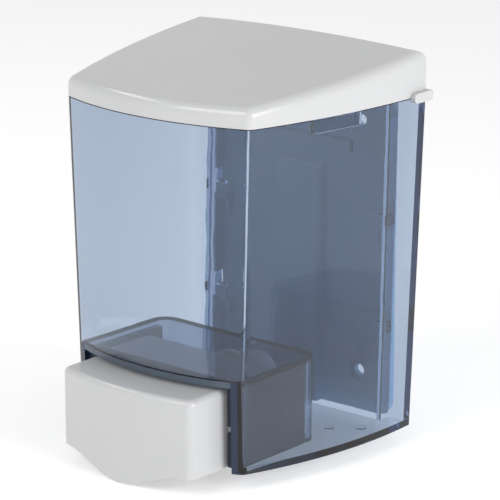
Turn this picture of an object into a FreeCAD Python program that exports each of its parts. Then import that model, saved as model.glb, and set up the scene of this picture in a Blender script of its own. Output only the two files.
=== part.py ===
import FreeCAD, Part
import math
import os
from FreeCAD import Vector

# Wall mounted soap dispenser: a tinted tank with a hinged refill lid, hung on a wall
# bracket, and a push bar that drives a small horizontal pump in a bay under the tank.
# Millimetres. +Z is up, the wall is the plane Y = 0 and the front faces -Y. Heights below
# are measured from the tank's underside; keep() moves every piece so that the origin is
# the centre of the bracket's four screw holes on the wall plane.

# --- Driving dimensions ------------------------------------------------------------------
TANK_H = 140.2
WALL = 2.5
BOW = 9.5

TOP_FRONT_HALF, TOP_FRONT_Y = 48.3, -96.4
TOP_REAR_HALF, TOP_REAR_Y = 60.3, -1.5
TOP_BULGE = 4.2
LOW_FRONT_HALF, LOW_FRONT_Y = 43.7, -95.7
LOW_REAR_HALF, LOW_REAR_Y = 57.8, -5.5
LOW_BULGE = 5.3
CORNER_R = 4.5

REAR_WALL = 3.0
RECESS_HALF = 45.5
RECESS_TOP_Y, RECESS_LOW_Y = -10.6, -14.6

BAY_HALF = 39.5
BAY_REAR_Y = -49.0
BAY_TOP = 35.7
BAY_SKIN = 2.5
BAY_CORNER_R = 5.0

LID_GAP = 0.4
LID_WALL = 2.2
LID_SIDE_FRONT, LID_SIDE_REAR = 8.0, 18.5
LID_CROWN_FRONT, LID_CROWN_REAR = 1.2, 2.0
LID_EDGE_R = 4.2
HINGE_Y, HINGE_Z = -7.0, 154.0
HINGE_PIN_R = 1.5
HINGE_KNUCKLE_R = 2.6
KNUCKLE_X = (31.0, 37.0)
LUG_XS = ((27.6, 30.7), (37.3, 40.4))

SCREW_X, SCREW_DZ, SCREW_CENTRE_Z = 29.0, 54.0, 72.0
SCREW_HOLE_R = 2.4
PLATE_T = 4.0

BAR_HALF = 35.0
BAR_FRONT_Y = -116.0
BAR_BOW = 4.8
BAR_TOP, BAR_LOW = 33.7, 1.2
BAR_WALL = 2.3
NOSE_DROP, NOSE_HALF = 7.6, 31.0
BAR_REAR_Y = -66.0
TRAVEL = 12.0

PUMP_Z = 17.0
PUMP_R, PUMP_BORE_R = 11.0, 9.0
PUMP_FRONT_Y, PUMP_REAR_Y = -84.0, -50.0
STEM_R = 7.0
STEM_END_Y = -39.0
ROD_R = 4.0
HEAD_FRONT_Y, HEAD_REAR_Y = -83.8, -77.9
SPOUT_Y = -106.0
RUNNING = 0.05

X, Y, Z = Vector(1, 0, 0), Vector(0, 1, 0), Vector(0, 0, 1)
ORIGIN_SHIFT = Vector(0, 0, -SCREW_CENTRE_Z)


# --- Helpers -----------------------------------------------------------------------------
def keep(name, shape):
    """Writes one piece, moved so that the origin is on the screw pattern's centre."""
    piece = shape.removeSplitter()
    piece.translate(ORIGIN_SHIFT)
    piece.exportStep("parts/" + name + ".step")


def block(x0, x1, y0, y1, z0, z1):
    return Part.makeBox(x1 - x0, y1 - y0, z1 - z0, Vector(x0, y0, z0))


def rod_y(radius, y0, y1, x=0.0, z=PUMP_Z):
    return Part.makeCylinder(radius, y1 - y0, Vector(x, y0, z), Y)


def rod_x(radius, x0, x1, y=HINGE_Y, z=HINGE_Z):
    return Part.makeCylinder(radius, x1 - x0, Vector(x0, y, z), X)


def rod_z(radius, z0, z1, x=0.0, y=SPOUT_Y):
    return Part.makeCylinder(radius, z1 - z0, Vector(x, y, z0), Z)


def fuse(*shapes):
    return shapes[0].multiFuse(list(shapes[1:]))


def mirrored(shape):
    return shape.mirror(Vector(0, 0, 0), X)


def at_height(z, low, top):
    """A size that changes evenly from the tank's underside to its rim."""
    return low + (top - low) * z / TANK_H


def plan_wire(z, inset=0.0):
    """The tank's plan at height z: bowed front, convex sides that widen to the rear."""
    front_half = at_height(z, LOW_FRONT_HALF, TOP_FRONT_HALF)
    front_y = at_height(z, LOW_FRONT_Y, TOP_FRONT_Y)
    rear_half = at_height(z, LOW_REAR_HALF, TOP_REAR_HALF)
    rear_y = at_height(z, LOW_REAR_Y, TOP_REAR_Y)
    bulge = at_height(z, LOW_BULGE, TOP_BULGE)
    front_right = Vector(front_half, front_y, z)
    rear_right = Vector(rear_half, rear_y, z)
    chord = rear_right - front_right
    out = Vector(chord.y, -chord.x, 0).normalize()
    side_mid = (front_right + rear_right) * 0.5 + out * bulge

    def flip(p):
        return Vector(-p.x, p.y, p.z)

    wire = Part.Wire([
        Part.Arc(flip(front_right), Vector(0, front_y - BOW, z), front_right).toShape(),
        Part.Arc(front_right, side_mid, rear_right).toShape(),
        Part.makeLine(rear_right, flip(rear_right)),
        Part.Arc(flip(rear_right), flip(side_mid), flip(front_right)).toShape(),
    ])
    return wire.makeOffset2D(-inset, 2) if inset else wire


def plan_loft(z0, z1, inset=0.0):
    return Part.makeLoft([plan_wire(z0, inset), plan_wire(z1, inset)], True, True)


def plan_prism(z0, z1, inset=0.0):
    """A straight-sided block with the rim's plan."""
    face = Part.Face(plan_wire(TANK_H, inset))
    face.translate(Vector(0, 0, z0 - TANK_H))
    return face.extrude(Vector(0, 0, z1 - z0))


def front_corner_edges(shape, tolerance=2.0):
    """The two steep edges where the bowed front meets the sides."""
    found = []
    for edge in shape.Edges:
        box = edge.BoundBox
        upright = box.ZLength > 3 and box.XLength < 6 and box.YLength < tolerance
        if upright and box.YMax < TOP_FRONT_Y + 4:
            found.append(edge)
    return found


def leaning_slab(y_low, y_top, thickness, z0, z1, half=80.0):
    """A plate across the tank, its front face leaning from y_low to y_top."""
    def lean(z):
        return at_height(z, y_low, y_top)

    side = Part.makePolygon([
        Vector(-half, lean(z0), z0),
        Vector(-half, lean(z1), z1),
        Vector(-half, lean(z1) + thickness, z1),
        Vector(-half, lean(z0) + thickness, z0),
        Vector(-half, lean(z0), z0),
    ])
    return Part.Face(side).extrude(Vector(2 * half, 0, 0))


# --- Tank --------------------------------------------------------------------------------
def make_tank():
    outer = plan_loft(0, TANK_H)
    outer = outer.makeFillet(CORNER_R, front_corner_edges(outer))
    hollow = plan_loft(WALL, TANK_H + 5, WALL)
    rear_wall = leaning_slab(LOW_REAR_Y - REAR_WALL, TOP_REAR_Y - REAR_WALL, 20, 1.0, TANK_H)
    recess_skin = leaning_slab(RECESS_LOW_Y, RECESS_TOP_Y, 30, 1.0, TANK_H, RECESS_HALF + WALL)
    inserts = [outer.common(solid) for solid in (rear_wall, recess_skin, bay_shape(BAY_SKIN, 0.0))]

    shell = fuse(outer.cut(hollow), *inserts)
    shell = shell.cut(bracket_recess()).cut(bay_shape(0.0, -5.0))
    shell = fuse(shell, hinge_upstand(), *hanging_ledges(), *rim_ribs(), *floor_pads(), fill_line())
    stem_hole = rod_y(STEM_R + 0.3, BAY_REAR_Y - 1, BAY_REAR_Y + BAY_SKIN + 1)
    pins = fuse(*[rod_x(HINGE_PIN_R, side * 34 - 8, side * 34 + 8) for side in (-1, 1)])
    return shell.cut(stem_hole).cut(pins)


def bracket_recess():
    """The channel up the tank's back that takes the wall bracket."""
    return leaning_slab(RECESS_LOW_Y + WALL, RECESS_TOP_Y + WALL, 30, -1, TANK_H + 1, RECESS_HALF)


def bay_shape(skin, z0):
    """The pump bay under the tank, or with a skin the block that it is cut from."""
    half = BAY_HALF + skin
    bay = block(-half, half, -130, BAY_REAR_Y + skin, z0, BAY_TOP + skin)
    rear_edges = []
    for edge in bay.Edges:
        box = edge.BoundBox
        if box.ZLength > 10 and box.YMin > BAY_REAR_Y - 1:
            rear_edges.append(edge)
    return bay.makeFillet(BAY_CORNER_R + skin, rear_edges)


def hinge_upstand():
    """The recess face carried up under the lid, with two knuckles that hold the hinge pins."""
    face_y = RECESS_TOP_Y
    wall = block(-42, 42, face_y, face_y + WALL, TANK_H - 2, HINGE_Z - HINGE_KNUCKLE_R - 0.6)
    pieces = [wall]
    x0, x1 = KNUCKLE_X
    for side in (-1, 1):
        low, high = sorted((side * x0, side * x1))
        arm = block(low, high, face_y, HINGE_Y, HINGE_Z - HINGE_KNUCKLE_R, HINGE_Z)
        rib = block(low, high, face_y, face_y + WALL, TANK_H - 2, HINGE_Z - 1)
        pieces += [arm, rib, rod_x(HINGE_KNUCKLE_R, low, high)]
    return fuse(*pieces)


HOOK_ZS = (36.0, 82.0)
HOOK_T = 2.4
HOOK_END_X = 44.4
HOOK_LIP_Y = (-9.0, -7.8)
LEDGE_Y = (-7.5, -4.5)


def hanging_ledges():
    """Four ledges on the recess's side walls, which drop behind the bracket's hooks."""
    x0, x1 = HOOK_END_X - 2.7, RECESS_HALF + 0.5
    ledges = []
    for z in HOOK_ZS:
        ledge = block(x0, x1, *LEDGE_Y, z + HOOK_T + 0.2, z + 7.0)
        ledges += [ledge, mirrored(ledge)]
    return ledges


def rim_ribs():
    """A short stiffening rib inside each side wall, just under the rim."""
    z0, z1 = TANK_H - 5.8, TANK_H - 0.6
    thick = 1.5
    ring = plan_loft(0, TANK_H, WALL - 0.4).cut(plan_loft(-1, TANK_H + 1, WALL + thick))
    return [ring.common(block(x0, x1, -65.5, -40.5, z0, z1)) for x0, x1 in ((30, 70), (-70, -30))]


def floor_pads():
    """Low round pads on the tank's floor, two at each side of the pick-up elbow."""
    spots = [(side * x, y) for side in (-1, 1) for x, y in ((38.0, -35.0), (48.0, -27.0))]
    return [rod_z(2.2, WALL - 0.5, WALL + 0.5, x, y) for x, y in spots]


def fill_line():
    """A raised level line on the tank side of the recess face, with two end ticks."""
    z = 118.0
    y = at_height(z, RECESS_LOW_Y, RECESS_TOP_Y)
    bar = block(-30, 30, y - 0.6, y + 0.4, z, z + 1.0)
    ticks = [block(x, x + 1.0, y - 0.6, y + 0.4, z - 4, z + 0.5) for x in (-30, 29)]
    return fuse(bar, *ticks)


# --- Lid ---------------------------------------------------------------------------------
def crowned_wedge(drop, base):
    """The space under the lid's top, lowered by drop: it rises to the rear and is crowned."""
    slope = (LID_SIDE_REAR - LID_SIDE_FRONT) / (TOP_REAR_Y - TOP_FRONT_Y)
    sections = []
    for y, crown in ((-118.0, LID_CROWN_FRONT), (8.0, LID_CROWN_REAR)):
        z = TANK_H + LID_SIDE_REAR + slope * (y - TOP_REAR_Y) - drop
        half = 64.0
        arc = Part.Arc(Vector(-half, y, z), Vector(0, y, z + crown), Vector(half, y, z))
        low_left, low_right = Vector(-half, y, base), Vector(half, y, base)
        sections.append(Part.Wire([
            arc.toShape(),
            Part.makeLine(Vector(half, y, z), low_right),
            Part.makeLine(low_right, low_left),
            Part.makeLine(low_left, Vector(-half, y, z)),
        ]))
    return Part.makeLoft(sections, True, True)


def make_lid():
    base = TANK_H + LID_GAP
    solid = plan_prism(base, 170).common(crowned_wedge(0.0, 100))
    solid = solid.makeFillet(CORNER_R, front_corner_edges(solid))
    top = max(solid.Faces, key=lambda face: face.CenterOfMass.z)
    solid = solid.makeFillet(LID_EDGE_R, top.Edges)

    hollow = plan_prism(base - 1, 170, LID_WALL).common(crowned_wedge(LID_WALL, 100))
    rear_open = block(-TOP_REAR_HALF + LID_WALL + 0.6, TOP_REAR_HALF - LID_WALL - 0.6,
                      TOP_REAR_Y - 8, 5, base - 1, HINGE_Z - 0.2)
    shell = solid.cut(hollow).cut(rear_open)
    swing = rod_x(HINGE_Z - base - 0.05, -70, 70)
    rear_low = block(-70, 70, HINGE_Y, 5, base - 1, HINGE_Z - 8)
    shell = shell.cut(rear_low.cut(swing))

    lugs = []
    for x0, x1 in LUG_XS:
        web = block(x0, x1, HINGE_Y - HINGE_KNUCKLE_R, HINGE_Y + HINGE_KNUCKLE_R, HINGE_Z, 157.4)
        lug = web.fuse(rod_x(HINGE_KNUCKLE_R, x0, x1))
        lugs += [lug, mirrored(lug)]
    shell = fuse(shell, *lugs)
    bores = [rod_x(HINGE_PIN_R + RUNNING, side * 34 - 8, side * 34 + 8) for side in (-1, 1)]
    return shell.cut(fuse(*bores))


# --- Wall bracket ------------------------------------------------------------------------
PLATE_HALF = RECESS_HALF - 0.3
PLATE_Z = (1.0, 136.0)
PLATE_CORNER_R = 6.0
RIM_T = 1.2
SPINE_HALF = 12.2
SPINE_TOP = 105.0
STRAP_Z = (138.4, 142.4)
STRAP_T = 1.2
EAR_X = (60.8, 62.9)
EAR_FRONT_Y = -12.0
PAD_HALF = 18.0
PAD_ZS = {"upper": (98.0, 130.0), "lower": (16.0, 48.0)}
PAD_T = 1.0


def make_bracket():
    plate = block(-PLATE_HALF, PLATE_HALF, -PLATE_T, 0, *PLATE_Z)
    plate = plate.makeFillet(PLATE_CORNER_R, [
        e for e in plate.Edges if e.BoundBox.YLength > 1 and e.BoundBox.ZLength < 1])
    body = fuse(plate, bracket_spine(), *bracket_rims(), *bracket_hooks())
    cuts = []
    for x in (-SCREW_X, SCREW_X):
        for z in (SCREW_CENTRE_Z - SCREW_DZ, SCREW_CENTRE_Z + SCREW_DZ):
            cuts.append(rod_y(SCREW_HOLE_R, -PLATE_T - 1, 1, x, z))
            cuts.append(rod_y(4.6, -PLATE_T - 1, -PLATE_T + 1.4, x, z))
    for z0, z1 in PAD_ZS.values():
        cuts.append(block(-PAD_HALF - 0.3, PAD_HALF + 0.3, -PAD_T, 1, z0 - 0.3, z1 + 0.3))
    return body.cut(fuse(*cuts))


def behind_recess(half, z0, z1):
    """A slab as wide as 2 x half, which stops just short of the back of the recess wall."""
    clearance = 0.5
    low_y = RECESS_LOW_Y + WALL + clearance
    top_y = RECESS_TOP_Y + WALL + clearance
    return leaning_slab(low_y, top_y, 15, z0, z1, half)


def bracket_spine():
    """The raised middle of the plate, which bears on the recess face."""
    spine = behind_recess(SPINE_HALF, PLATE_Z[0] + 1, SPINE_TOP)
    spine = spine.common(block(-60, 60, -30, -PLATE_T + 0.5, 0, SPINE_TOP + 1))
    return spine.makeFillet(1.6, [e for e in spine.Edges if e.BoundBox.YMax < -PLATE_T - 4])


def bracket_rims():
    """A thin rim up each long edge, notched where the tank's ledges drop behind the hooks."""
    z0, z1 = PLATE_Z[0] + PLATE_CORNER_R, PLATE_Z[1] - PLATE_CORNER_R
    rim = behind_recess(PLATE_HALF, z0, z1).common(
        block(PLATE_HALF - RIM_T, PLATE_HALF, -30, -PLATE_T + 0.5, z0, z1))
    notches = [block(PLATE_HALF - 2 * RIM_T, PLATE_HALF + 1, -30, -PLATE_T, z + HOOK_T, z + 13.0)
               for z in HOOK_ZS]
    rim = rim.cut(fuse(*notches))
    return [rim, mirrored(rim)]


def make_strap():
    """A strap behind the tank's rim, seated on the plate, with an ear round each corner."""
    seat = block(-36, 36, -PLATE_T, 0, PLATE_Z[1] + 0.1, STRAP_Z[1])
    strap = block(-EAR_X[1], EAR_X[1], -STRAP_T, 0, *STRAP_Z)
    return fuse(seat, strap, *strap_ears())


def bracket_hooks():
    """Hooks inside the plate's rims, with upturned lips in front of the tank's ledges."""
    x0 = HOOK_END_X - 5.4
    hooks = []
    for z in HOOK_ZS:
        arm = block(x0, HOOK_END_X, HOOK_LIP_Y[0], -0.6, z, z + HOOK_T)
        lip = block(x0, HOOK_END_X, *HOOK_LIP_Y, z, z + 6.6)
        gusset = block(x0, x0 + 1.8, HOOK_LIP_Y[0] + 2, -0.6, z - 6, z + 1)
        hook = fuse(arm, lip, gusset)
        hooks += [hook, mirrored(hook)]
    return hooks


def strap_ears():
    """The strap's ends wrap forward round the tank's rear corners."""
    mid_z = sum(STRAP_Z) / 2
    half_h = (STRAP_Z[1] - STRAP_Z[0]) / 2
    ear = block(*EAR_X, EAR_FRONT_Y + half_h, 0, *STRAP_Z)
    nose = Part.makeCylinder(half_h, EAR_X[1] - EAR_X[0],
                             Vector(EAR_X[0], EAR_FRONT_Y + half_h, mid_z), X)
    ear = ear.fuse(nose)
    return [ear, mirrored(ear)]


def make_pad(span):
    pad = block(-PAD_HALF, PAD_HALF, -PAD_T, 0, *span)
    return pad.makeFillet(2.0, [
        e for e in pad.Edges if e.BoundBox.YLength > 0.5 and e.BoundBox.ZLength < 0.1])


# --- Push bar ----------------------------------------------------------------------------
def bar_plan(inset, rear_y):
    half = BAR_HALF - inset
    front_y = BAR_FRONT_Y + inset
    right, left = Vector(half, front_y, 0), Vector(-half, front_y, 0)
    return Part.Face(Part.Wire([
        Part.Arc(left, Vector(0, front_y - BAR_BOW, 0), right).toShape(),
        Part.makeLine(right, Vector(half, rear_y, 0)),
        Part.makeLine(Vector(half, rear_y, 0), Vector(-half, rear_y, 0)),
        Part.makeLine(Vector(-half, rear_y, 0), left),
    ]))


def nose_z(x):
    """Height of the bar's lower edge, which dips in one smooth wave at the middle."""
    if abs(x) >= NOSE_HALF:
        return BAR_LOW
    return BAR_LOW - NOSE_DROP * (1 + math.cos(math.pi * x / NOSE_HALF)) / 2


def bar_elevation():
    """The bar's front outline, extruded through its depth."""
    y0, y1 = -135.0, 0.0
    points = [Vector(NOSE_HALF * k / 6, y0, nose_z(NOSE_HALF * k / 6)) for k in range(-6, 7)]
    wave = Part.BSplineCurve()
    wave.interpolate(Points=points, InitialTangent=X, FinalTangent=X)
    corners = [Vector(NOSE_HALF, y0, BAR_LOW), Vector(60, y0, BAR_LOW), Vector(60, y0, BAR_TOP),
               Vector(-60, y0, BAR_TOP), Vector(-60, y0, BAR_LOW), Vector(-NOSE_HALF, y0, BAR_LOW)]
    rest = Part.makePolygon(corners)
    face = Part.Face(Part.Wire([wave.toShape()] + rest.Edges))
    return face.extrude(Vector(0, y1 - y0, 0))


def make_push_bar():
    plan = bar_plan(0.0, BAR_REAR_Y)
    plan.translate(Vector(0, 0, -15))
    cover = plan.extrude(Vector(0, 0, 60))
    cover = cover.makeFillet(4.0, [
        e for e in cover.Edges if e.BoundBox.ZLength > 10 and e.BoundBox.YMax < -110])
    cover = cover.common(bar_elevation())
    cover = cover.makeFillet(2.4, [e for e in cover.Edges if is_top_rim(e, BAR_REAR_Y)])
    hollow = bar_plan(BAR_WALL, BAR_REAR_Y + 5)
    hollow.translate(Vector(0, 0, -20))
    cover = cover.cut(hollow.extrude(Vector(0, 0, 20 + BAR_TOP - BAR_WALL)))

    tongue = block(BAR_HALF - 0.5, BAR_HALF + 2.0, -94.0, BAR_REAR_Y - 2,
                   PUMP_Z - 1.2, PUMP_Z + 1.2)
    inside = cover_block()
    socket = rod_y(8.6, -119.0, -111.3).common(inside)
    ribs = [block(x - 0.8, x + 0.8, -118.5, -94.0, BAR_TOP - 6, BAR_TOP - 1).common(inside)
            for x in (-18, 18)]
    body = fuse(cover, tongue, mirrored(tongue), socket, *ribs)
    return body.cut(rod_y(6.5, -117.6, -105))


def is_top_rim(edge, rear_y):
    box = edge.BoundBox
    return box.ZMin > BAR_TOP - 0.1 and not (box.YMin > rear_y - 0.1)


def cover_block():
    """The bar's outer block, which trims what is fused inside it to stay inside it."""
    plan = bar_plan(0.5, -60.0)
    return plan.extrude(Vector(0, 0, BAR_TOP - 0.5))


def make_bar_guide():
    """A grooved rail bonded to the bay's right wall, in which the bar's tongue runs."""
    rail = block(BAR_HALF + 0.7, BAY_HALF - 0.05, -95.5, -54.5, 1.5, BAY_TOP - 1.5)
    groove = block(BAR_HALF, BAR_HALF + 2.3, -100, -50, PUMP_Z - 1.5, PUMP_Z + 1.5)
    return rail.cut(groove)


# --- Pump --------------------------------------------------------------------------------
INLET_BALL_R = 2.5
BALL_SEAT_Y = -46.6


def make_pump_cylinder():
    barrel = rod_y(PUMP_R, PUMP_FRONT_Y, PUMP_REAR_Y)
    flange = rod_y(13.5, PUMP_REAR_Y - 2.6, PUMP_REAR_Y)
    stem = rod_y(STEM_R, PUMP_REAR_Y - 1, STEM_END_Y)
    chamber = rod_y(PUMP_BORE_R, PUMP_FRONT_Y - 1, PUMP_REAR_Y - 4.6)
    ball_cage = rod_y(INLET_BALL_R + 0.6, PUMP_REAR_Y - 6, BALL_SEAT_Y)
    port = rod_y(1.7, BALL_SEAT_Y - 1, STEM_END_Y + 1)
    return fuse(barrel, flange, stem).cut(fuse(chamber, ball_cage, port))


def make_cylinder_cap():
    """The threaded front cap, whose bore guides the piston rod."""
    cap = rod_y(PUMP_R + 2.0, PUMP_FRONT_Y - 3.2, PUMP_FRONT_Y + 6.0)
    grips = []
    for k in range(24):
        angle = math.radians(15 * k)
        grips.append(rod_y(0.6, PUMP_FRONT_Y - 4, PUMP_FRONT_Y + 7,
                           (PUMP_R + 2.2) * math.cos(angle),
                           PUMP_Z + (PUMP_R + 2.2) * math.sin(angle)))
    sleeve = rod_y(PUMP_R + 0.05, PUMP_FRONT_Y - 0.05, PUMP_FRONT_Y + 7)
    wiper_seat = rod_y(ROD_R + 1.6, PUMP_FRONT_Y - 4, PUMP_FRONT_Y - 1.8)
    rod_bore = rod_y(ROD_R + RUNNING, PUMP_FRONT_Y - 5, PUMP_FRONT_Y + 2)
    return cap.cut(fuse(sleeve, wiper_seat, rod_bore, *grips))


def make_rod_wiper():
    ring = rod_y(ROD_R + 1.55, PUMP_FRONT_Y - 3.6, PUMP_FRONT_Y - 1.85)
    return ring.cut(rod_y(ROD_R + RUNNING, PUMP_FRONT_Y - 5, PUMP_FRONT_Y))


def make_wall_gasket():
    ring = rod_y(12.5, PUMP_REAR_Y + 0.02, BAY_REAR_Y - 0.02)
    return ring.cut(rod_y(STEM_R + 0.05, PUMP_REAR_Y - 1, BAY_REAR_Y + 1))


def make_pump_nut():
    face_y = BAY_REAR_Y + BAY_SKIN + 0.05
    hexagon = []
    for k in range(7):
        angle = math.radians(60 * k)
        hexagon.append(Vector(12.0 * math.cos(angle), face_y, PUMP_Z + 12.0 * math.sin(angle)))
    nut = Part.Face(Part.makePolygon(hexagon)).extrude(Vector(0, 4.2, 0))
    chamfer = Part.makeCone(11.2, 14.0, 2.8, Vector(0, face_y + 4.3, PUMP_Z), -Y)
    nut = nut.common(chamfer.fuse(rod_y(14, face_y - 1, face_y + 1.6)))
    return nut.cut(rod_y(STEM_R + 0.05, face_y - 1, face_y + 6))


def make_pickup_elbow():
    """Pushes on to the stem inside the tank and draws from just above the floor."""
    sleeve = rod_y(9.0, -41.8, -32.0)
    down = rod_z(5.5, 5.2, PUMP_Z, 0.0, -34.5)
    bore = rod_y(STEM_R + 0.03, -43, STEM_END_Y + 0.05)
    passage = rod_y(2.5, -40, -34.5)
    inlet = rod_z(2.5, 4, PUMP_Z, 0.0, -34.5)
    return sleeve.fuse(down).cut(fuse(bore, passage, inlet))


def make_inlet_strainer():
    """A slotted cup on the foot of the pick-up elbow."""
    cup = rod_z(6.6, 3.2, 7.8, 0.0, -34.5).cut(rod_z(5.55, 5.15, 10, 0.0, -34.5))
    slots = []
    for x in (-3.0, 0.0, 3.0):
        slots.append(block(x - 0.6, x + 0.6, -38.5, -30.5, 3, 5.3))
    return cup.cut(fuse(*slots))


def make_inlet_ball():
    return Part.makeSphere(INLET_BALL_R, Vector(0, BALL_SEAT_Y - INLET_BALL_R - 0.02, PUMP_Z))


def make_piston():
    head = rod_y(PUMP_BORE_R - 0.3, HEAD_FRONT_Y, HEAD_REAR_Y - 1.6)
    hub = rod_y(7.0, HEAD_FRONT_Y, HEAD_REAR_Y)
    rod = rod_y(ROD_R, -108.0, HEAD_FRONT_Y + 1)
    return fuse(head, hub, rod).cut(rod_y(1.6, -110, -70))


def make_piston_seal():
    ring = rod_y(PUMP_BORE_R - 0.03, HEAD_REAR_Y - 1.55, HEAD_REAR_Y - 0.05)
    return ring.cut(rod_y(7.03, HEAD_REAR_Y - 3, HEAD_REAR_Y + 1))


def make_pump_spring():
    """The return spring, between the piston hub and the cylinder's rear wall."""
    wire_r, coil_r, turns = 0.55, 5.6, 6.0
    y0 = HEAD_REAR_Y + 0.1 + wire_r
    y1 = PUMP_REAR_Y - 4.7 - wire_r
    helix = Part.makeHelix((y1 - y0) / turns, y1 - y0, coil_r)
    flats = 12
    corners = []
    for k in range(flats + 1):
        angle = 2 * math.pi * k / flats
        corners.append(Vector(coil_r + wire_r * math.cos(angle), 0, wire_r * math.sin(angle)))
    profile = Part.makePolygon(corners)
    coil = Part.Wire(helix.Edges).makePipeShell([profile], True, True)
    coil.rotate(Vector(0, 0, 0), X, -90)
    coil.translate(Vector(0, y0, PUMP_Z))
    return coil


def make_nozzle_elbow():
    """Takes the hollow rod's flow and turns it down behind the bar's nose."""
    along = rod_y(6.45, -117.5, -100.2)
    spout = rod_z(5.0, -1.5, PUMP_Z)
    tip = rod_z(3.6, -3.0, 0.0)
    rod_socket = rod_y(ROD_R + 0.03, -108.05, -98)
    cross = rod_y(2.2, -112.0, -105.0)
    outlet = rod_z(2.2, -5, PUMP_Z)
    return fuse(along, spout, tip).cut(fuse(rod_socket, cross, outlet))


def make_nozzle_valve():
    """A soft slit valve that caps the spout."""
    skirt = rod_z(4.6, -4.4, -1.55)
    beak = Part.makeCone(3.4, 1.4, 2.2, Vector(0, SPOUT_Y, -4.4), -Z)
    seat = rod_z(3.62, -3.05, 0.0)
    passage = rod_z(1.6, -5.6, 0.0)
    slit = block(-0.9, 0.9, SPOUT_Y - 0.15, SPOUT_Y + 0.15, -7, -5)
    return fuse(skirt, beak).cut(fuse(seat, passage, slit))


def make_bumper():
    """A rubber stop for one side of the bar, on the bay's rear wall."""
    y0 = BAR_REAR_Y + TRAVEL + 0.3
    stud = rod_y(2.6, y0, BAY_REAR_Y - 0.02, BAR_HALF - 3.2)
    return stud.makeFillet(0.8, [e for e in stud.Edges if e.BoundBox.YMax < y0 + 0.1])


# --- Write the pieces --------------------------------------------------------------------
os.makedirs("parts", exist_ok=True)

keep("tank", make_tank())
keep("lid", make_lid())
keep("wall_bracket", make_bracket())
keep("retaining_strap", make_strap())
for place, span in PAD_ZS.items():
    keep("adhesive_pad_" + place, make_pad(span))

keep("push_bar", make_push_bar())
guide = make_bar_guide()
bumper = make_bumper()
hinge_pin = rod_x(HINGE_PIN_R, 27.2, 40.8)
for name, piece in (("bar_guide", guide), ("bar_bumper", bumper), ("hinge_pin", hinge_pin)):
    keep(name + "_right", piece)
    keep(name + "_left", mirrored(piece))

keep("pump_cylinder", make_pump_cylinder())
keep("cylinder_cap", make_cylinder_cap())
keep("rod_wiper", make_rod_wiper())
keep("wall_gasket", make_wall_gasket())
keep("pump_nut", make_pump_nut())
keep("pickup_elbow", make_pickup_elbow())
keep("inlet_strainer", make_inlet_strainer())
keep("inlet_ball", make_inlet_ball())
keep("piston", make_piston())
keep("piston_seal", make_piston_seal())
keep("pump_spring", make_pump_spring())
keep("nozzle_elbow", make_nozzle_elbow())
keep("nozzle_valve", make_nozzle_valve())
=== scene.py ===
import math

import bpy
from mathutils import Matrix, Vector


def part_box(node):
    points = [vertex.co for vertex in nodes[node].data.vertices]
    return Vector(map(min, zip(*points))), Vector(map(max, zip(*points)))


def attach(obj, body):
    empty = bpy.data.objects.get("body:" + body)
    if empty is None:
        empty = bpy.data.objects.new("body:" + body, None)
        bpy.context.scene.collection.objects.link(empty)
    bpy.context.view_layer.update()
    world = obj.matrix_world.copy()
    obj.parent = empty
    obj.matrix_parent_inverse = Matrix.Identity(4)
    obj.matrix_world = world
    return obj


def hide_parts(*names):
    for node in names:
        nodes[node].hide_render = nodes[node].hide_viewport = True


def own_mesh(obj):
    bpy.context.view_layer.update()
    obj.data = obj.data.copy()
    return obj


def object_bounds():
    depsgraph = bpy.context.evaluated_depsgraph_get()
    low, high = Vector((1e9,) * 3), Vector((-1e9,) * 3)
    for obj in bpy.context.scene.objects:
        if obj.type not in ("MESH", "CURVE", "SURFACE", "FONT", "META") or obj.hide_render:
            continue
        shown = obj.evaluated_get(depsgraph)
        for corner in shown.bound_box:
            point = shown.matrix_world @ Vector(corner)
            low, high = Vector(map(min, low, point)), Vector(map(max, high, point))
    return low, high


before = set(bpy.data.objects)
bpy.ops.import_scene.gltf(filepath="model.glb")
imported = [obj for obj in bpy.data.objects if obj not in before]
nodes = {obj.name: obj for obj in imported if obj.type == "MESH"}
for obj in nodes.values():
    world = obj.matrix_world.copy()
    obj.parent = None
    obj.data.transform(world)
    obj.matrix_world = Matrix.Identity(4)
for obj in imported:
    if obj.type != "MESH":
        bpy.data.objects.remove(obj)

# Wall mounted soap dispenser. This script gives each CAD node its material, puts its own copy
# of the spring in place of the CAD one, and adds the studio: a plain pale floor and soft
# light. Metres, in the CAD frame: +Z up, the wall is Y = 0, the front faces -Y.
cad_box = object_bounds()

MM = 0.001
FLOOR_Z = cad_box[0][2] - 0.2 * MM
MIDDLE = Vector((0.0, -0.0515, 0.003))      # what the camera and the lights are aimed at
TANK_WALL = 2.5 * MM


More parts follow.
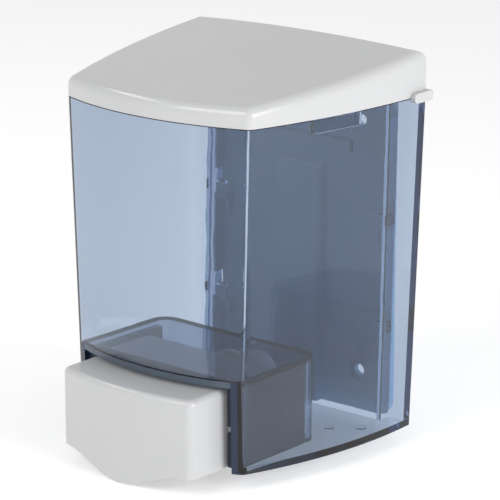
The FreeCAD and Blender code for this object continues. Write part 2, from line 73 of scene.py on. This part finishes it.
# --- Node helpers ------------------------------------------------------------------------
class Mat:
    """A node material with short calls for the nodes that the materials here share."""

    def __init__(self, name):
        self.material = bpy.data.materials.new(name)
        self.material.use_nodes = True
        self.tree = self.material.node_tree
        self.shader = self.tree.nodes["Principled BSDF"]
        self.coords = self.tree.nodes.new("ShaderNodeTexCoord").outputs["Object"]

    def put(self, **values):
        """Sets the shader's own sockets: put(Roughness=0.3, Base_Color=(r, g, b))."""
        for key, value in values.items():
            socket = self.shader.inputs[key.replace("_", " ")]
            if socket.type == "RGBA" and len(value) == 3:
                value = (*value, 1.0)
            socket.default_value = value

    def link(self, output, name):
        self.tree.links.new(output, self.shader.inputs[name])

    def node(self, kind, inputs=(), **settings):
        made = self.tree.nodes.new(kind)
        for key, value in settings.items():
            setattr(made, key, value)
        for key, value in dict(inputs).items():
            if isinstance(value, bpy.types.NodeSocket):
                self.tree.links.new(value, made.inputs[key])
            else:
                made.inputs[key].default_value = value
        return made

    def maths(self, operation, first, second):
        return self.node("ShaderNodeMath", {0: first, 1: second}, operation=operation).outputs[0]

    def stretched(self, scale):
        """Object coordinates stretched by scale, for streaks and grain."""
        mapping = self.node("ShaderNodeMapping", {"Vector": self.coords, "Scale": scale})
        return mapping.outputs["Vector"]

    def noise(self, scale, detail=3.0, roughness=0.5, vector=None):
        return self.node("ShaderNodeTexNoise", {
            "Vector": vector or self.coords, "Scale": scale,
            "Detail": detail, "Roughness": roughness}).outputs["Fac"]

    def cells(self, scale, feature="F1"):
        return self.node("ShaderNodeTexVoronoi", {
            "Vector": self.coords, "Scale": scale}, feature=feature).outputs["Distance"]

    def between(self, fac, low, high, start=0.3, end=0.7):
        """Maps a pattern's middle range to numbers from low to high."""
        return self.node("ShaderNodeMapRange", {
            "Value": fac, "From Min": start, "From Max": end,
            "To Min": low, "To Max": high}).outputs["Result"]

    def colours(self, fac, first, second):
        """Mixes two colours, each an (r, g, b) or another node's output."""
        ends = [c if isinstance(c, bpy.types.NodeSocket) else (*c, 1.0) for c in (first, second)]
        mix = self.node("ShaderNodeMix", data_type="RGBA")
        for index, value in ((0, fac), (6, ends[0]), (7, ends[1])):
            if isinstance(value, bpy.types.NodeSocket):
                self.tree.links.new(value, mix.inputs[index])
            else:
                mix.inputs[index].default_value = value
        return mix.outputs[2]

    def bump(self, height, distance, strength=1.0, under=None):
        inputs = {"Height": height, "Distance": distance, "Strength": strength}
        if under is not None:
            inputs["Normal"] = under
        return self.node("ShaderNodeBump", inputs).outputs["Normal"]


def dress(mat, *names):
    for name in names:
        data = nodes[name].data
        data.materials.clear()
        data.materials.append(mat.material)


# --- Materials ---------------------------------------------------------------------------
def bay_edge_shade_masks(m):
    """Two masks for painted shade on the tank's front: the end of the pump bay's roof, and of
    its side walls.
    """
    rail_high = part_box("bar_guide_right")[1]
    bay_side_x = rail_high[0] + 0.05 * MM       # the rails stand against the bay's side walls
    bay_roof_z = rail_high[2] + 1.5 * MM        # and stop a little below its roof
    behind_front_y = -94.0 * MM                 # the ends of the walls are all ahead of this
    slack = 0.1 * MM
    split = m.node("ShaderNodeSeparateXYZ", {"Vector": m.coords})
    x = m.node("ShaderNodeMath", {0: split.outputs["X"]}, operation="ABSOLUTE").outputs[0]
    y, z = split.outputs["Y"], split.outputs["Z"]
    within = m.maths("LESS_THAN", x, bay_side_x + TANK_WALL)
    roof_end_shade = m.maths("MULTIPLY", within, m.maths("GREATER_THAN", z, bay_roof_z - slack))
    leg_end_shade = m.maths("MULTIPLY", within, m.maths("GREATER_THAN", x, bay_side_x - slack))
    low_front = m.maths("MULTIPLY", m.maths("LESS_THAN", y, behind_front_y),
                        m.maths("LESS_THAN", z, bay_roof_z + TANK_WALL))
    return m.maths("MULTIPLY", low_front, roof_end_shade), m.maths("MULTIPLY", low_front, leg_end_shade)


def smoke_plastic():
    """Clear smoke-blue moulding, tinted by depth. The bay's cut edges carry painted shade: dark
    and less clear, with a rougher finish.
    """
    m = Mat("smoke_plastic")
    m.put(IOR=1.49)
    roof_end_shade, leg_end_shade = bay_edge_shade_masks(m)
    # Painted shade: the roof end and the side-wall ends of the bay are coloured dark and made
    # less clear. This stands in for the dark look of thick clear edges and the shade inside the
    # bay.
    body = m.colours(roof_end_shade, (1.0, 1.0, 1.0), (0.08, 0.11, 0.15))
    m.link(m.colours(leg_end_shade, body, (0.012, 0.025, 0.065)), "Base Color")
    edge = m.maths("MAXIMUM", roof_end_shade, leg_end_shade)
    m.link(m.between(edge, 1.0, 0.25, 0.0, 1.0), "Transmission Weight")
    rub = m.between(m.noise(45.0, 4.0), 0.0, 0.010, 0.6, 0.85)
    m.link(m.maths("ADD", m.maths("MULTIPLY", edge, 0.3), rub), "Roughness")
    m.link(m.bump(m.noise(40.0, 1.0), 0.006 * MM, 0.2), "Normal")
    volume = m.node("ShaderNodeVolumeAbsorption")
    volume.inputs["Color"].default_value = (0.087, 0.290, 0.540, 1.0)
    volume.inputs["Density"].default_value = 165.0
    m.tree.links.new(volume.outputs[0], m.tree.nodes["Material Output"].inputs["Volume"])
    return m


def white_plastic():
    """Glossy moulded white with a faint orange peel and patches rubbed a little duller."""
    m = Mat("white_plastic")
    m.link(m.colours(m.between(m.noise(22.0, 3.0), 0.0, 1.0),
                     (0.480, 0.484, 0.490), (0.500, 0.503, 0.508)), "Base Color")
    m.link(m.between(m.noise(70.0, 5.0, 0.6), 0.16, 0.26), "Roughness")
    m.link(m.bump(m.noise(420.0, 2.0, 0.4), 0.006 * MM, 0.4), "Normal")
    return m


def bracket_plastic():
    """Pale blue-grey with the fine matt grain of a spark-eroded mould. The blue-grey is painted
    shade: it stands in for the dim, blue-filtered light that reaches the bracket through the
    tinted tank.
    """
    m = Mat("bracket_plastic")
    # Painted shade: the blue-grey stands in for the dim, blue-filtered light that reaches the
    # bracket through the tank. The faint mottle is random tone.
    m.link(m.colours(m.between(m.noise(35.0, 3.0), 0.0, 1.0),
                     (0.28, 0.48, 0.71), (0.32, 0.52, 0.75)), "Base Color")
    m.link(m.between(m.noise(900.0, 2.0), 0.42, 0.60), "Roughness")
    m.link(m.bump(m.noise(1600.0, 2.0, 0.6), 0.03 * MM, 0.6), "Normal")
    return m


def grey_plastic():
    """Dark satin rail, rubbed smoother in streaks along its length."""
    m = Mat("grey_plastic")
    streaks = m.noise(1.0, 3.0, 0.5, m.stretched((500.0, 30.0, 500.0)))
    m.link(m.colours(m.between(streaks, 0.0, 1.0), (0.012, 0.018, 0.034), (0.020, 0.028, 0.048)),
           "Base Color")
    m.link(m.between(streaks, 0.30, 0.50), "Roughness")
    m.link(m.bump(m.noise(1200.0, 2.0), 0.02 * MM, 0.4), "Normal")
    return m


def pump_plastic():
    """Natural acetal: milky and waxy, with turned rings around the pump's axis."""
    m = Mat("pump_plastic")
    m.link(m.colours(m.between(m.noise(60.0, 3.0), 0.0, 1.0), (0.60, 0.61, 0.60),
                     (0.68, 0.69, 0.68)), "Base Color")
    m.link(m.between(m.noise(240.0, 3.0), 0.28, 0.42), "Roughness")
    m.put(Subsurface_Weight=0.15, Subsurface_Radius=(0.002, 0.002, 0.002))
    rings = m.noise(1.0, 2.0, 0.5, m.stretched((60.0, 1800.0, 60.0)))
    m.link(m.bump(rings, 0.015 * MM, 0.5), "Normal")
    return m


def black_rubber():
    m = Mat("black_rubber")
    dust = m.between(m.noise(420.0, 5.0, 0.7), 0.0, 1.0, 0.45, 0.75)
    m.link(m.colours(dust, (0.014, 0.014, 0.016), (0.045, 0.045, 0.047)), "Base Color")
    m.link(m.between(dust, 0.50, 0.75, 0.0, 1.0), "Roughness")
    m.link(m.bump(m.noise(2200.0, 2.0), 0.02 * MM, 0.6), "Normal")
    return m


def clear_rubber():
    """Soft milky silicone."""
    m = Mat("clear_rubber")
    m.link(m.colours(m.between(m.noise(300.0, 2.0), 0.0, 1.0), (0.60, 0.61, 0.61),
                     (0.72, 0.73, 0.72)), "Base Color")
    m.link(m.between(m.noise(700.0, 2.0), 0.30, 0.45), "Roughness")
    m.put(Transmission_Weight=0.35, IOR=1.41)
    m.link(m.bump(m.noise(1500.0, 2.0), 0.015 * MM, 0.5), "Normal")
    return m


def foam_tape():
    """Closed-cell foam: small round cells, with painted shade darkening their hollows."""
    m = Mat("foam_tape")
    cells = m.cells(1400.0)
    # Painted shade: the colour is darker towards the cell centres, where the bump below sinks
    # them into hollows.
    m.link(m.colours(m.between(cells, 0.0, 1.0, 0.1, 0.6), (0.36, 0.37, 0.37),
                     (0.56, 0.57, 0.56)), "Base Color")
    m.link(m.between(m.noise(500.0), 0.85, 0.98), "Roughness")
    m.link(m.bump(cells, 0.15 * MM, 0.8), "Normal")
    return m


def steel():
    """Drawn stainless wire and pin stock, with fine lengthwise drawing marks."""
    m = Mat("steel")
    m.put(Metallic=1.0)
    marks = m.noise(1.0, 3.0, 0.6, m.stretched((90.0, 2400.0, 2400.0)))
    m.link(m.colours(m.between(marks, 0.0, 1.0), (0.50, 0.50, 0.51), (0.66, 0.65, 0.64)),
           "Base Color")
    m.link(m.between(marks, 0.20, 0.38), "Roughness")
    m.link(m.bump(marks, 0.008 * MM, 0.5), "Normal")
    return m


def ball_glass():
    m = Mat("ball_glass")
    m.put(Base_Color=(0.93, 0.97, 0.96), Transmission_Weight=1.0, IOR=1.52)
    m.link(m.between(m.noise(900.0, 3.0), 0.01, 0.06), "Roughness")
    m.link(m.bump(m.noise(1500.0), 0.004 * MM, 0.3), "Normal")
    return m


dress(smoke_plastic(), "tank")
dress(white_plastic(), "lid", "push_bar", "retaining_strap")
dress(bracket_plastic(), "wall_bracket")
dress(grey_plastic(), "bar_guide_left", "bar_guide_right")
dress(pump_plastic(), "pump_cylinder", "cylinder_cap", "pump_nut", "pickup_elbow",
      "inlet_strainer", "piston", "nozzle_elbow")
dress(black_rubber(), "rod_wiper", "wall_gasket", "piston_seal", "bar_bumper_left",
      "bar_bumper_right")
dress(clear_rubber(), "nozzle_valve")
dress(foam_tape(), "adhesive_pad_upper", "adhesive_pad_lower")
dress(steel(), "hinge_pin_left", "hinge_pin_right", "pump_spring")
dress(ball_glass(), "inlet_ball")


# --- Return spring -----------------------------------------------------------------------
def make_spring():
    """The return spring, as its own piece carried by the dispenser body."""
    node = nodes["pump_spring"]
    spring = bpy.data.objects.new("spring", node.data.copy())
    bpy.context.collection.objects.link(spring)
    spring.matrix_world = node.matrix_world
    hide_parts("pump_spring")
    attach(spring, "dispenser_body")
    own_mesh(spring)


make_spring()


# --- Camera ------------------------------------------------------------------------------
def turn(azimuth, elevation):
    """A direction from the object: azimuth 0 is its front, 90 its right side."""
    a, e = math.radians(azimuth), math.radians(elevation)
    return Vector((math.sin(a) * math.cos(e), -math.cos(a) * math.cos(e), math.sin(e)))


def make_camera():
    """Three-quarter view from the front right, aimed a little to the right of the middle."""
    azimuth, elevation, distance = 40.76, 15.71, 1.0663
    aim_right = 7.6 * MM
    right = turn(azimuth + 90.0, 0.0)
    data = bpy.data.cameras.new("camera")
    data.lens, data.sensor_width = 187.25, 36.0
    data.clip_start, data.clip_end = 0.05, 50.0
    camera = bpy.data.objects.new("camera", data)
    bpy.context.collection.objects.link(camera)
    camera.location = MIDDLE + turn(azimuth, elevation) * distance
    look = MIDDLE + right * aim_right - camera.location
    camera.rotation_euler = look.to_track_quat("-Z", "Y").to_euler()
    bpy.context.scene.camera = camera


# --- Studio ------------------------------------------------------------------------------
def make_floor():
    """A plain pale floor, with a little glow so that it meets the surround without a line."""
    half = 15.0
    mesh = bpy.data.meshes.new("floor")
    mesh.from_pydata([(-half, -half, FLOOR_Z), (half, -half, FLOOR_Z),
                      (half, half, FLOOR_Z), (-half, half, FLOOR_Z)], [], [(0, 1, 2, 3)])
    floor = bpy.data.objects.new("floor", mesh)
    bpy.context.collection.objects.link(floor)
    m = Mat("floor")
    m.put(Base_Color=(0.8, 0.8, 0.8), Roughness=0.8,
          Emission_Color=(1.0, 1.0, 1.0), Emission_Strength=0.34)
    mesh.materials.append(m.material)


def area_light(name, azimuth, elevation, distance, size, power, shadow=True):
    """A soft panel of light, size wide by high, aimed at the dispenser's middle."""
    data = bpy.data.lights.new(name, "AREA")
    data.shape, data.size, data.size_y = "RECTANGLE", size[0], size[1]
    data.energy = power
    data.use_shadow = shadow
    light = bpy.data.objects.new(name, data)
    bpy.context.collection.objects.link(light)
    light.location = MIDDLE + turn(azimuth, elevation) * distance
    light.rotation_euler = (MIDDLE - light.location).to_track_quat("-Z", "Y").to_euler()


def make_world(horizon, zenith):
    """A soft surround, brighter near the horizon than overhead."""
    world = bpy.data.worlds.new("studio")
    bpy.context.scene.world = world
    world.use_nodes = True
    tree = world.node_tree
    coords = tree.nodes.new("ShaderNodeTexCoord")
    split = tree.nodes.new("ShaderNodeSeparateXYZ")
    fade = tree.nodes.new("ShaderNodeMapRange")
    fade.inputs["To Min"].default_value = horizon
    fade.inputs["To Max"].default_value = zenith
    tree.links.new(coords.outputs["Generated"], split.inputs["Vector"])
    tree.links.new(split.outputs["Z"], fade.inputs["Value"])
    tree.links.new(fade.outputs["Result"], tree.nodes["Background"].inputs["Strength"])
    tree.nodes["Background"].inputs["Color"].default_value = (1.0, 1.0, 1.0, 1.0)


make_camera()
make_floor()
make_world(horizon=0.95, zenith=0.38)
area_light("front_key", -10.0, 35.0, 1.2, (0.7, 0.5), 4.8)
area_light("side_fill", 88.0, 15.0, 1.0, (0.5, 0.5), 6.2)
area_light("edge_strip", -75.0, 47.0, 1.2, (0.7, 0.08), 1.6, shadow=False)
bpy.context.scene.view_settings.view_transform = "Standard"
